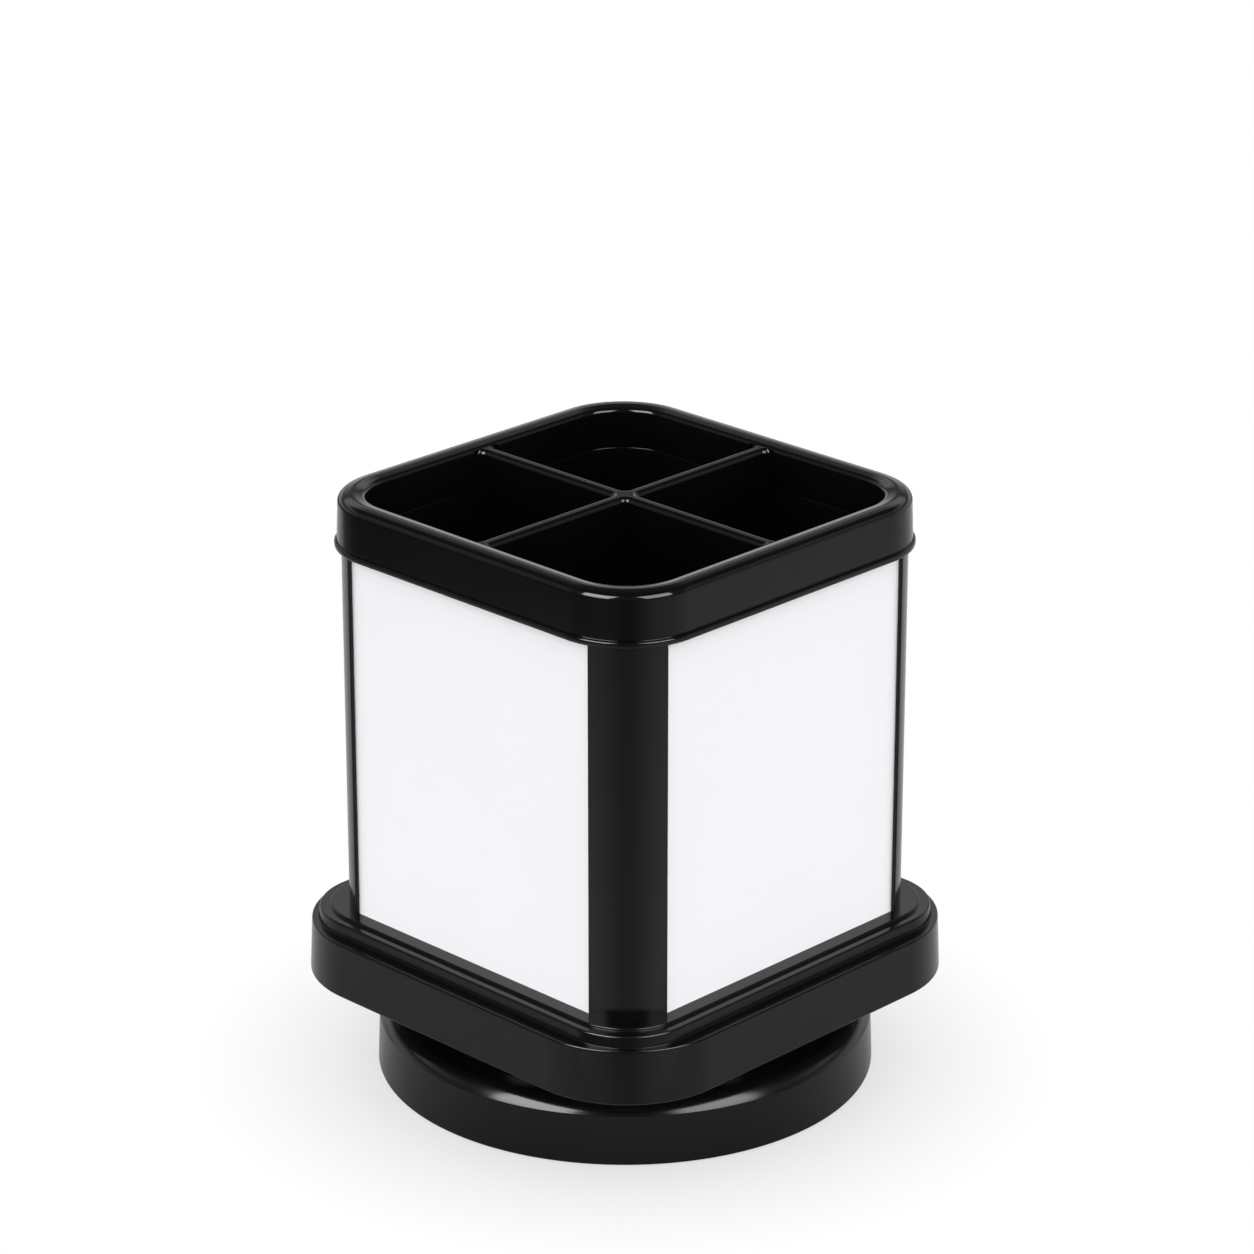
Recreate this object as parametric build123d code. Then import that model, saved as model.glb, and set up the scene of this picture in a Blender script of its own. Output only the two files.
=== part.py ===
from build123d import *
import os
from math import sqrt

# A rotating pen stand: a square four-compartment pen tub with four picture
# panels, standing on a round base that it turns on. Millimetres, +Z up, origin
# at the centre of the underside, panels facing +X, -X, +Y and -Y.

# Body: half the distance between the faces of opposite panels, which the widths follow
panel_face = 37.7

# Round base
base_inset = 1.2
base_draft = 0.35
base_wall_height = 9.3
base_wall = 2.6
base_deck = 2.7
base_edge_round = 0.5
shoulder_width = 2.4
shoulder_rise = 2.3
base_rib_count = 6
base_rib = 1.8
base_rib_rise = 0.4

# Foot pads under the base
pad_count = 4
pad_radius = 5.5
pad_thickness = 2.2
pad_proud = 0.25
pad_seat_depth = 0.8
pad_boss_wall = 1.2
pad_play = 0.1

# Glide ring let into the deck of the base
glide_inset = 5.0
glide_width = 5.0
glide_seat_depth = 1.0
glide_proud = 0.3
glide_play = 0.1

# Pivot: the spindle of the swivel plate, held down by a washer and a screw
spindle_radius = 5.0
spindle_play = 0.05
spindle_end_play = 0.1
spindle_collar = 4.0
hub_wall = 4.4
washer_radius = 9.0
washer_thickness = 1.0
washer_play = 0.15
pivot_shank_radius = 2.0
pivot_shank_length = 11.0
pivot_head_radius = 4.0
pivot_head_height = 2.6
pivot_headroom = 1.3
screw_fit = 0.05
drive_slot = 0.9
drive_depth_share = 0.5
drive_length_share = 1.2

# Swivel plate: a round neck under a square plate
neck_step = 3.6
neck_height = 5.7
neck_wall = 2.2
neck_rib_count = 6
neck_rib = 1.8
neck_rib_rise = 1.0
plate_thickness = 3.0
plate_play = 0.15

# Stepped square plinth
plinth_corner = 20.0
plinth_draft = 0.45
plinth_wall = 2.35
plinth_roof = 2.4
wall_height = 10.0
wall_ledge = 3.0
step_corner = 12.8
step_height = 2.1
step_ledge = 1.8
seat_corner = 11.3
seat_margin = 1.9
seat_height = 0.55
plinth_edge_round = 0.35
collar_wall = 1.6

# Screws that pull the plate up against the plinth
plinth_screw_inset = 3.9
plinth_boss_radius = 2.6
plinth_screw_radius = 1.25
plinth_screw_length = 5.4
plinth_head_radius = 2.3
plinth_head_height = 1.6
plinth_head_play = 0.1

# Corner posts
post_flank = 8.75
post_proud = 0.95
post_bow = 1.48
post_rise = 75.5
post_lip_round = 0.25
post_socket_depth = 1.5
post_play = 0.15

# Picture panels behind the lips of the posts
panel_thickness = 0.8
panel_grip = 1.0
panel_play = 0.1
panel_sink = 1.2
panel_headroom = 1.1

# Pen tub
tub_wall = 2.0
tub_floor = 2.2
tub_corner = 10.5
tub_play = 0.15
tub_flange_reach = 1.7
tub_flange_thickness = 2.0
tub_flange_corner = 18.0

# Cross that divides the tub
divider_thickness = 2.6
divider_play = 0.1
divider_drop = 0.6
divider_top_round = 1.1
divider_flare = 1.4
divider_foot = 0.8
divider_inner_round = 1.0

# Pull-off top rim, a channel over the walls of the body
rim_deck = 2.0
rim_skirt = 7.6
rim_gap = 0.7
rim_wall = 1.15
rim_channel_corner = 12.4
rim_corner_ease = 0.65
rim_draft = 0.3
rim_play = 0.2
rim_round = 1.7
rim_inner_round = 1.5
rim_inner_wall = 0.85
rim_lap = 5.6
rim_seam_gap = 0.15
bead_proud = 0.45
bead_height = 1.2
bead_round = 0.5

# How far a cut runs past the face that it opens
overrun = 1.0

# Heights worked out from the bottom up
base_foot_z = pad_proud
deck_z = base_foot_z + base_wall_height + shoulder_rise
deck_underside_z = deck_z - base_deck
neck_z = deck_z + glide_proud
plinth_z = neck_z + neck_height
plate_top_z = plinth_z + plate_thickness
ledge_z = plinth_z + wall_height
step_z = ledge_z + step_height
plinth_top_z = step_z + seat_height
post_top_z = plinth_top_z + post_rise
rim_top_z = post_top_z + rim_deck
rim_bottom_z = post_top_z - rim_skirt
rim_lap_z = post_top_z - rim_lap
floor_z = plate_top_z + tub_floor
flange_top_z = plate_top_z + tub_flange_thickness

# Pivot heights, from the screw head up
washer_z = pivot_headroom + pivot_head_height
spindle_end_z = washer_z + washer_thickness
hub_end_z = spindle_end_z + spindle_end_play

# Half widths of the square parts, from the panels inwards
panel_back = panel_face - panel_thickness
tub_half = panel_back - post_play
tub_inner_half = tub_half - tub_wall
tub_outer_corner = tub_corner + tub_wall

# Half widths from the panels outwards: posts, rim and plinth
post_edge = panel_face - post_flank
post_tip = panel_face + post_proud
post_apex = (post_edge + post_tip) / sqrt(2) + post_bow
panel_half_width = post_edge + panel_grip
channel_half = panel_face + rim_gap
rim_half = channel_half + rim_wall
rim_corner = rim_channel_corner + rim_wall + rim_corner_ease
seat_half = post_tip + seat_margin
step_half = seat_half + step_ledge
ledge_half = step_half + wall_ledge
plinth_half = ledge_half + plinth_draft
cavity_half = ledge_half - plinth_wall
cavity_corner = plinth_corner - plinth_draft - plinth_wall
opening_half = tub_half + tub_play
opening_corner = tub_outer_corner + tub_play
cavity_apex = sqrt(2) * (cavity_half - cavity_corner) + cavity_corner
plinth_screw_offset = (cavity_apex - plinth_screw_inset) / sqrt(2)

# Radii of the round parts, from the plinth inwards
base_radius = plinth_half - base_inset
base_top_radius = base_radius - base_draft
deck_radius = base_top_radius - shoulder_width
neck_radius = deck_radius - neck_step
glide_outer_radius = neck_radius - neck_wall - glide_inset
glide_inner_radius = glide_outer_radius - glide_width
hub_radius = spindle_radius + spindle_play + hub_wall
pad_ring_radius = base_radius - base_wall - pad_boss_wall - pad_radius


def square(half, corner, bottom, top):
    """Upright block with a rounded-square outline, between two heights."""
    outline = Plane.XY.offset(bottom) * RectangleRounded(2 * half, 2 * half, corner)
    return extrude(outline, amount=top - bottom)


def drafted_square(half, corner, bottom, top, draft):
    """Rounded-square block whose sides lean in by the draft on the way up."""
    low = Plane.XY.offset(bottom) * RectangleRounded(2 * half, 2 * half, corner)
    top_half = half - draft
    high = Plane.XY.offset(top) * RectangleRounded(2 * top_half, 2 * top_half, corner - draft)
    return loft([low, high], ruled=True)


def disc(radius, bottom, top):
    """Upright round block between two heights."""
    return extrude(Plane.XY.offset(bottom) * Circle(radius), amount=top - bottom)


def tube(outer, inner, bottom, top):
    """Upright ring between two heights."""
    return disc(outer, bottom, top) - disc(inner, bottom - overrun, top + overrun)


def turned(points):
    """Solid of revolution of a closed outline of (radius, height) points."""
    return revolve(make_face(Plane.XZ * Polyline(*points, close=True)), axis=Axis.Z)


def spokes(count, width, inner, outer, bottom, top):
    """Radial ribs from an inner to an outer radius."""
    length = outer - inner
    middle = (inner + outer) / 2
    blank = extrude(Plane.XY.offset(bottom) * Pos(middle, 0) * Rectangle(length, width), amount=top - bottom)
    return [Rot(0, 0, 360 * index / count) * blank for index in range(count)]


def top_edges(solid, height):
    """Edges that lie flat at a height."""
    return solid.edges().filter_by_position(Axis.Z, height, height)


def quarter_turns(piece):
    """The four places of a piece that repeats on each side or corner."""
    return [Rot(0, 0, 90 * index) * piece for index in range(4)]


def pad_places():
    """Places of the foot pads, spread evenly under the rim of the base."""
    return PolarLocations(pad_ring_radius, pad_count, start_angle=180 / pad_count)


def base_shell():
    """Round base: drafted wall, rising shoulder, flat deck, hollow below, hub for the pivot."""
    wall_top_z = base_foot_z + base_wall_height
    shell = turned([
        (0, base_foot_z),
        (base_radius, base_foot_z),
        (base_top_radius, wall_top_z),
        (deck_radius, deck_z),
        (0, deck_z),
    ])
    shell = fillet(top_edges(shell, wall_top_z), base_edge_round)
    shell -= disc(base_top_radius - base_wall, base_foot_z - overrun, deck_underside_z)
    ribs = spokes(base_rib_count, base_rib, hub_radius - hub_wall / 2, base_top_radius - base_wall / 2,
                  hub_end_z + base_rib_rise, deck_underside_z + base_deck / 2)
    shell = shell + ribs
    shell += disc(hub_radius, hub_end_z, deck_z)
    boss_radius = pad_radius + pad_play + pad_boss_wall
    boss_z = pad_thickness - pad_seat_depth
    for place in pad_places():
        shell += place * disc(boss_radius, boss_z, deck_underside_z + base_deck / 2)
        shell -= place * disc(pad_radius + pad_play, boss_z - overrun, pad_thickness)
    shell -= disc(spindle_radius + spindle_play, hub_end_z - overrun, deck_z + overrun)
    shell -= tube(glide_outer_radius + glide_play, glide_inner_radius - glide_play,
                  deck_z - glide_seat_depth, deck_z + overrun)
    return shell


def foot_pads():
    """Soft round pads in their seats, which the stand rests on."""
    return Compound(children=[place * disc(pad_radius, 0, pad_thickness) for place in pad_places()])


def glide_ring():
    """Slippery ring that carries the turning half."""
    return tube(glide_outer_radius, glide_inner_radius, deck_z - glide_seat_depth, neck_z)


def cross_recess(head_radius, head_height, head_z):
    """Cross-shaped driver recess in the underside of a screw head."""
    length = head_radius * drive_length_share
    depth = head_height * drive_depth_share
    bar = Plane.XY.offset(head_z - overrun) * Rectangle(length, drive_slot)
    slot = extrude(bar, amount=depth + overrun)
    return slot + Rot(0, 0, 90) * slot


def screw(shank_radius, shank_length, head_radius, head_height, head_z):
    """Pan-head screw that points up, with its head at the bottom."""
    seat_z = head_z + head_height
    head = disc(head_radius, head_z, seat_z)
    head = fillet(top_edges(head, head_z), head_height / 2)
    head -= cross_recess(head_radius, head_height, head_z)
    return head + disc(shank_radius, seat_z, seat_z + shank_length)


def pivot_washer():
    """Steel washer between the pivot screw and the hub."""
    return tube(washer_radius, pivot_shank_radius + washer_play, washer_z, spindle_end_z)


def pivot_screw():
    """Screw that holds the spindle down, driven from below."""
    return screw(pivot_shank_radius, washer_thickness + pivot_shank_length, pivot_head_radius,
                 pivot_head_height, pivot_headroom)


def plinth_screw_places():
    """Places of the four screws on the diagonals."""
    return GridLocations(2 * plinth_screw_offset, 2 * plinth_screw_offset, 2, 2)


def plinth_screws():
    """Four screws, driven from below, sunk into the plate."""
    blank = screw(plinth_screw_radius, plinth_screw_length, plinth_head_radius, plinth_head_height,
                  plinth_z + plinth_head_play)
    return Compound(children=[place * blank for place in plinth_screw_places()])


def swivel_plate():
    """Turning plate: square flange, round neck, bearing land and spindle."""
    plate = square(cavity_half - plate_play, cavity_corner - plate_play, plinth_z, plate_top_z)
    plate += tube(neck_radius, neck_radius - neck_wall, neck_z, plinth_z)
    plate += tube(glide_outer_radius, glide_inner_radius, neck_z, plinth_z)
    plate += disc(spindle_radius + spindle_collar, neck_z, plinth_z)
    plate = plate + spokes(neck_rib_count, neck_rib, spindle_radius, neck_radius - neck_wall / 2,
                           neck_z + neck_rib_rise, plinth_z)
    plate += disc(spindle_radius, spindle_end_z, plinth_z)
    plate -= disc(pivot_shank_radius + screw_fit, spindle_end_z - overrun,
                  spindle_end_z + pivot_shank_length + screw_fit)
    sink_z = plinth_z + plinth_head_play + plinth_head_height
    for place in plinth_screw_places():
        plate -= place * disc(plinth_head_radius + plinth_head_play, plinth_z - overrun, sink_z)
        plate -= place * disc(plinth_screw_radius + plinth_head_play, sink_z - overrun, plate_top_z + overrun)
    return plate


def post_plan():
    """Plan of the post at +X +Y: a bowed face from lip to lip, hollowed out for the tub's corner."""
    diagonal = post_apex / sqrt(2)
    bow = ThreePointArc((post_tip, post_edge), (diagonal, diagonal), (post_edge, post_tip))
    flanks = Polyline((post_edge, post_tip), (post_edge, post_edge), (post_tip, post_edge))
    tub_side = RectangleRounded(2 * panel_back, 2 * panel_back, tub_outer_corner + post_play)
    return make_face([bow, flanks]) - tub_side


def corner_post():
    """Corner post at +X +Y: lips over the edges of two panels, and a tenon that enters the rim."""
    foot_z = plinth_top_z - post_socket_depth
    post = extrude(Plane.XY.offset(foot_z) * post_plan(), amount=rim_bottom_z - foot_z)
    slot_end = panel_half_width + panel_play
    slot = Pos(panel_face + panel_play, slot_end) * Rectangle(
        panel_thickness + 2 * panel_play, slot_end - post_edge + overrun, align=(Align.MAX, Align.MAX))
    for cut in (slot, mirror(slot, Plane((0, 0, 0), x_dir=(0, 0, 1), z_dir=(1, -1, 0)))):
        post -= extrude(Plane.XY.offset(foot_z - overrun) * cut, amount=rim_bottom_z - foot_z + 2 * overrun)
    lip_edge = panel_face + panel_play + post_lip_round
    ends = [edge for edge in post.edges().filter_by(Axis.Z)
            if max(edge.center().X, edge.center().Y) > lip_edge
            and min(edge.center().X, edge.center().Y) < post_edge + post_lip_round]
    post = fillet(ends, post_lip_round)
    tenon_half = channel_half - rim_play
    tenon = post_plan() & RectangleRounded(2 * tenon_half, 2 * tenon_half, rim_channel_corner - rim_play)
    tenon &= Pos(slot_end, slot_end) * Rectangle(post_apex, post_apex, align=(Align.MIN, Align.MIN))
    return post + extrude(Plane.XY.offset(rim_bottom_z) * tenon, amount=rim_skirt)


def panel():
    """Flat picture panel on the +X side, from the plinth's rebate up into the rim."""
    bottom = plinth_top_z - panel_sink
    top = post_top_z - panel_headroom
    middle = panel_back + panel_thickness / 2
    outline = Pos(middle, 0) * Rectangle(panel_thickness, 2 * panel_half_width)
    return extrude(Plane.XY.offset(bottom) * outline, amount=top - bottom)


def plinth():
    """Stepped square plinth: a hollow skirt with a collar that clamps the tub's flange."""
    skirt = drafted_square(plinth_half, plinth_corner, plinth_z, ledge_z, plinth_draft)
    skirt = fillet(top_edges(skirt, ledge_z), plinth_edge_round)
    step = square(step_half, step_corner, ledge_z, step_z)
    step = fillet(top_edges(step, step_z), plinth_edge_round)
    seat = square(seat_half, seat_corner, step_z, plinth_top_z)
    seat = fillet(top_edges(seat, plinth_top_z), plinth_edge_round)
    body = skirt + step + seat
    collar_half = opening_half + collar_wall
    hollow = square(cavity_half, cavity_corner, plinth_z - overrun, ledge_z - plinth_roof)
    hollow -= square(collar_half, opening_corner + collar_wall, flange_top_z, ledge_z)
    for place in plinth_screw_places():
        hollow -= place * disc(plinth_boss_radius, plate_top_z, ledge_z)
    body -= hollow
    body -= square(opening_half, opening_corner, plinth_z - overrun, plinth_top_z + overrun)
    for place in plinth_screw_places():
        hole_top_z = plinth_z + plinth_head_play + plinth_head_height + plinth_screw_length + screw_fit
        body -= place * disc(plinth_screw_radius + screw_fit, plate_top_z - overrun, hole_top_z)
    socket = extrude(Plane.XY.offset(plinth_top_z - post_socket_depth) * offset(post_plan(), panel_play),
                     amount=post_socket_depth + overrun)
    rebate_depth = panel_face + panel_play - opening_half + overrun
    rebate_middle = panel_face + panel_play - rebate_depth / 2
    slot = Pos(rebate_middle, 0) * Rectangle(rebate_depth, 2 * (panel_half_width + panel_play))
    rebate = extrude(Plane.XY.offset(plinth_top_z - panel_sink) * slot, amount=panel_sink + overrun)
    for cut in quarter_turns(socket) + quarter_turns(rebate):
        body -= cut
    return body


def pen_tub():
    """Open square tub with a clamping flange at the foot and a rebate for the rim at the mouth."""
    tub = square(tub_half, tub_outer_corner, plate_top_z, post_top_z)
    tub += square(tub_half + tub_flange_reach, tub_flange_corner, plate_top_z, flange_top_z)
    tub -= square(tub_inner_half, tub_corner, floor_z, post_top_z + overrun)
    rebate = rim_inner_wall + rim_play
    rebate_z = rim_lap_z - rim_seam_gap
    tub -= square(tub_inner_half + rebate, tub_corner + rebate, rebate_z, post_top_z + overrun)
    return tub


def divider_cross():
    """Two crossing walls with rounded tops and a flat foot at each end, one moulding."""
    reach = tub_inner_half - divider_play
    top_z = rim_top_z - divider_drop
    wall = Rectangle(2 * reach, divider_thickness)
    plan = wall + Rot(0, 0, 90) * wall
    crotches = [spot for spot in plan.vertices() if max(abs(spot.X), abs(spot.Y)) < divider_thickness]
    plan = fillet(crotches, divider_inner_round)
    cross = extrude(Plane.XY.offset(floor_z) * plan, amount=top_z - floor_z)
    cross = fillet(top_edges(cross, top_z), divider_top_round)
    foot = Pos(reach - divider_foot / 2, 0) * Rectangle(divider_foot, divider_thickness + 2 * divider_flare)
    strip = extrude(Plane.XY.offset(floor_z) * foot, amount=top_z - 2 * divider_top_round - floor_z)
    return cross + quarter_turns(strip)


def top_rim():
    """Rounded-square channel with a bead along its lower edge."""
    shell = drafted_square(rim_half, rim_corner, rim_bottom_z, rim_top_z, rim_draft)
    shell = fillet(top_edges(shell, rim_top_z), rim_round)
    bead = square(rim_half + bead_proud, rim_corner + bead_proud, rim_bottom_z, rim_bottom_z + bead_height)
    bead = fillet(top_edges(bead, rim_bottom_z) + top_edges(bead, rim_bottom_z + bead_height), bead_round)
    shell += bead
    mouth = square(tub_inner_half, tub_corner, rim_bottom_z - overrun, rim_top_z + overrun)
    shell -= mouth
    inner = shell.edges().filter_by_position(Axis.Z, rim_top_z, rim_top_z)
    inner = [edge for edge in inner if max(abs(edge.center().X), abs(edge.center().Y)) < tub_half]
    shell = fillet(inner, rim_inner_round)
    channel = square(channel_half, rim_channel_corner, rim_bottom_z - overrun, post_top_z)
    lap_half = tub_inner_half + rim_inner_wall
    channel -= square(lap_half, tub_corner + rim_inner_wall, rim_lap_z, post_top_z + overrun)
    return shell - channel


corner_names = ("right", "rear", "left", "front")
side_names = ("front_right", "rear_right", "rear_left", "front_left")

nodes = {
    "base_shell": base_shell(),
    "foot_pads": foot_pads(),
    "glide_ring": glide_ring(),
    "pivot_washer": pivot_washer(),
    "pivot_screw": pivot_screw(),
    "swivel_plate": swivel_plate(),
    "plinth": plinth(),
    "plinth_screws": plinth_screws(),
    "pen_tub": pen_tub(),
    "divider_cross": divider_cross(),
    "top_rim": top_rim(),
}
for name, piece in zip(corner_names, quarter_turns(corner_post())):
    nodes["corner_post_" + name] = piece
for name, piece in zip(side_names, quarter_turns(panel())):
    nodes["panel_" + name] = piece

os.makedirs("parts", exist_ok=True)
for name, piece in nodes.items():
    piece.label = name
    export_step(piece, os.path.join("parts", name + ".step"))
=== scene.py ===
"""Looks of a rotating pen stand: mouldings, panels, finishes and studio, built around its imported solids."""

import math

import bpy
import numpy as np
from bpy.props import FloatProperty, FloatVectorProperty, PointerProperty
from bpy.types import Operator, Panel, PropertyGroup
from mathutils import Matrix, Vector


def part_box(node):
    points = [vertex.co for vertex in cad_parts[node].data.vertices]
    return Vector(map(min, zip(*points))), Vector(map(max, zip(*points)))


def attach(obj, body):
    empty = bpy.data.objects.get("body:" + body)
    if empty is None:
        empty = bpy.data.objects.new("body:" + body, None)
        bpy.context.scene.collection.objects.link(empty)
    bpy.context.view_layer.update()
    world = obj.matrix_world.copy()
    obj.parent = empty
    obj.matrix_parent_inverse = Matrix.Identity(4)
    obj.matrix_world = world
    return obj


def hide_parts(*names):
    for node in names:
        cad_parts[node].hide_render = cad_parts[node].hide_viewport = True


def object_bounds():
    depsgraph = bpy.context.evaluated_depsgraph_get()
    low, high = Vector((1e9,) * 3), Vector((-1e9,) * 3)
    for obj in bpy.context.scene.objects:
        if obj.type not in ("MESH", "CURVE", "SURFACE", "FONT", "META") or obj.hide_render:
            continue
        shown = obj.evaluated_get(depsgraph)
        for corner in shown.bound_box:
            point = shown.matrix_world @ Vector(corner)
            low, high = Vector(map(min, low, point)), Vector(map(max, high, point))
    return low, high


bl_info = {
    "name": "Rotating pen stand",
    "version": (1, 0, 0),
    "blender": (4, 5, 0),
    "location": "View3D > Sidebar > Pen stand",
    "description": "Builds the mouldings, panels, finishes and studio of a rotating pen stand",
    "category": "Object",
}

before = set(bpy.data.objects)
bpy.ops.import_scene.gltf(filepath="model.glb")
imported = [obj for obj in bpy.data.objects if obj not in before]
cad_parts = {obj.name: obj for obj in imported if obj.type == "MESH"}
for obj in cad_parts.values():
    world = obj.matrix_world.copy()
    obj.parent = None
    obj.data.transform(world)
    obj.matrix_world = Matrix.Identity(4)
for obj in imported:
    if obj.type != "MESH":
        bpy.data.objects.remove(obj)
cad_low, cad_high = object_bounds()

MM = 0.001
WHITE = (1, 1, 1, 1)
FULL_TURN = 2 * math.pi
QUARTER = FULL_TURN / 4
QUARTERS = np.arange(4) * QUARTER
DIAGONALS = QUARTERS + QUARTER / 2
RIB_COUNT = 6
RIBS = np.arange(RIB_COUNT) * FULL_TURN / RIB_COUNT
SHARP_EDGE = math.radians(35)
NEARLY_STRAIGHT = 0.9999
# Panels from +X and posts from +X +Y, in the order of quarter turns
SIDES = ("front_right", "rear_right", "rear_left", "front_left")
CORNERS = ("right", "rear", "left", "front")


def linear(code):
    """sRGB hex code to linear red, green and blue: c/12.92 below 0.04045, else ((c+0.055)/1.055)^2.4."""
    channels = np.array([int(code[place:place + 2], 16) for place in (0, 2, 4)]) / 255
    dark = channels / 12.92
    bright = ((channels + 0.055) / 1.055) ** 2.4
    return tuple(np.where(channels <= 0.04045, dark, bright).tolist())


def size(label, text, value):
    """A length that a user may change, in metres."""
    return FloatProperty(name=label, description=text, default=value, min=0.0, precision=5, unit="LENGTH")


def colour(label, text, code):
    """A colour that a user may change, given as an sRGB hex code."""
    return FloatVectorProperty(name=label, description=text, default=linear(code), size=3, min=0.0, max=1.0,
                               subtype="COLOR")


def angle(label, text, degrees):
    """An angle that a user may change, given in degrees."""
    return FloatProperty(name=label, description=text, default=math.radians(degrees), subtype="ANGLE")


def number(label, text, value):
    """A plain number that a user may change."""
    return FloatProperty(name=label, description=text, default=value, min=0.0)


class PenStandSizes(PropertyGroup):
    """Section sizes of the mouldings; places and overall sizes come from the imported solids."""

    base_draft: size("Base draft", "How far the base wall leans in on its way up", 0.35 * MM)
    base_wall: size("Base wall", "Thickness of the base wall", 2.6 * MM)
    base_deck: size("Base deck", "Thickness of the deck of the base", 2.7 * MM)
    base_round: size("Base edge", "Rounding of the upper edge of the base wall", 0.3 * MM)
    base_foot_round: size("Base foot", "Rounding of the lower edge of the base wall", 0.35 * MM)
    shoulder_width: size("Shoulder width", "Width of the sloping shoulder of the base", 2.4 * MM)
    shoulder_rise: size("Shoulder rise", "Height of the sloping shoulder of the base", 2.3 * MM)
    shoulder_bow: size("Shoulder bow", "How far the shoulder of the base bulges", 0.5 * MM)
    shoulder_round: size("Shoulder rounding", "Rounding of the bulge of the shoulder", 4.2 * MM)
    hub_wall: size("Hub wall", "Thickness of the hub round the spindle", 4.4 * MM)
    hub_bore: size("Hub bore", "Radius of the bore of the hub", 5.05 * MM)
    hub_end: size("Hub end", "Height of the lower end of the hub", 5.0 * MM)
    rib: size("Rib", "Thickness of the ribs under the base", 1.8 * MM)
    rib_rise: size("Rib rise", "How far the ribs stay above the end of the hub", 0.4 * MM)
    rib_sink: size("Rib sink", "How far ribs, bosses and tenons run into what carries them", 0.3 * MM)
    glide_width: size("Glide width", "Width of the glide ring", 5.0 * MM)
    glide_play: size("Glide play", "Gap beside the glide ring in its groove", 0.1 * MM)
    pad_radius: size("Pad radius", "Radius of a foot pad", 5.5 * MM)
    pad_play: size("Pad play", "Gap round a foot pad in its seat", 0.1 * MM)
    pad_seat: size("Pad seat", "Depth of the seat of a foot pad", 0.8 * MM)
    pad_boss: size("Pad boss", "Thickness of the wall round a foot pad", 1.2 * MM)
    pad_round: size("Pad edge", "Rounding of the lower edge of a foot pad", 0.5 * MM)
    pad_groove: size("Pad groove", "Width and depth of the ring moulded into a foot pad", 0.4 * MM)
    plinth_draft: size("Plinth draft", "How far the plinth wall leans in on its way up", 0.45 * MM)
    plinth_corner: size("Plinth corner", "Corner radius of the plinth wall", 20.0 * MM)
    plinth_wall: size("Plinth wall", "Thickness of the plinth wall", 2.35 * MM)
    plinth_roof: size("Plinth roof", "Thickness of the plinth under its ledge", 2.4 * MM)
    ledge_width: size("Ledge width", "Width of the lower ledge of the plinth", 3.0 * MM)
    step_width: size("Step width", "Width of the upper ledge of the plinth", 1.8 * MM)
    step_corner: size("Step corner", "Corner radius of the middle step", 12.8 * MM)
    step_height: size("Step height", "Height of the middle step", 2.1 * MM)
    step_draft: size("Step draft", "How far the middle step leans in on its way up", 0.35 * MM)
    seat_corner: size("Seat corner", "Corner radius of the top step", 11.3 * MM)
    seat_height: size("Seat height", "Height of the top step", 0.55 * MM)
    plinth_round: size("Plinth edge", "Rounding of the edges of the plinth", 0.42 * MM)
    seat_round: size("Seat edge", "Rounding of the edge of the top step", 0.25 * MM)
    collar_wall: size("Collar wall", "Thickness of the collar inside the plinth", 1.6 * MM)
    flange_thickness: size("Flange thickness", "Thickness of the flange at the foot of the tub", 2.0 * MM)
    flange_corner: size("Flange corner", "Corner radius of the flange of the tub", 18.0 * MM)
    flange_reach: size("Flange reach", "How far the flange stands out of the tub", 1.7 * MM)
    tub_wall: size("Tub wall", "Thickness of the tub wall", 2.0 * MM)
    tub_floor: size("Tub floor", "Thickness of the tub floor", 2.2 * MM)
    tub_corner: size("Tub corner", "Inner corner radius of the tub", 10.5 * MM)
    tub_play: size("Tub play", "Gap round the tub in the plinth and the posts", 0.15 * MM)
    tub_rebate: size("Tub rebate", "Depth of the rebate at the mouth of the tub", 1.05 * MM)
    tub_foot_round: size("Tub foot", "Rounding where the tub wall meets its floor", 1.4 * MM)
    post_round: size("Lip rounding", "Rounding of the lips of the corner posts", 0.25 * MM)
    post_bow: size("Post bow", "How far the face of a post bulges between its lips", 1.48 * MM)
    post_proud: size("Lip height", "How far the lips of a post stand out of the panels", 0.95 * MM)
    lip_slot: size("Lip slot", "How far a panel runs behind the lip of a post", 1.1 * MM)
    panel_play: size("Panel play", "Gap round a panel in its slot", 0.1 * MM)
    panel_round: size("Panel edge", "Rounding of the edges of a panel", 0.12 * MM)
    panel_corner: size("Panel corner", "Corner radius of a panel", 0.8 * MM)
    rim_gap: size("Rim gap", "Gap between a panel and the outer skirt of the rim", 0.7 * MM)
    rim_play: size("Rim play", "Gap between the tenons of the posts and the rim", 0.2 * MM)
    rim_wall: size("Rim wall", "Thickness of the outer skirt of the rim", 1.15 * MM)
    rim_inner_wall: size("Rim inner wall", "Thickness of the inner skirt of the rim", 0.85 * MM)
    rim_deck: size("Rim deck", "Thickness of the top of the rim", 2.0 * MM)
    rim_lap: size("Rim lap", "Length of the inner skirt of the rim", 5.6 * MM)
    rim_seam: size("Rim seam", "Gap under the inner skirt of the rim", 0.15 * MM)
    rim_draft: size("Rim draft", "How far the outer skirt leans in on its way up", 0.3 * MM)
    rim_corner: size("Rim corner", "Corner radius of the outer skirt of the rim", 14.2 * MM)
    rim_channel_corner: size("Rim channel corner", "Corner radius inside the outer skirt", 12.4 * MM)
    rim_crown: angle("Rim crown", "Slope of the top of the rim on both sides of its crest", 12.0)
    rim_crest_round: size("Rim crest", "Rounding of the crest of the rim", 2.5 * MM)
    rim_round: size("Rim rounding", "Rounding of the outer top edge of the rim", 1.4 * MM)
    rim_inner_round: size("Rim inner rounding", "Rounding of the inner top edge of the rim", 0.9 * MM)
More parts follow.
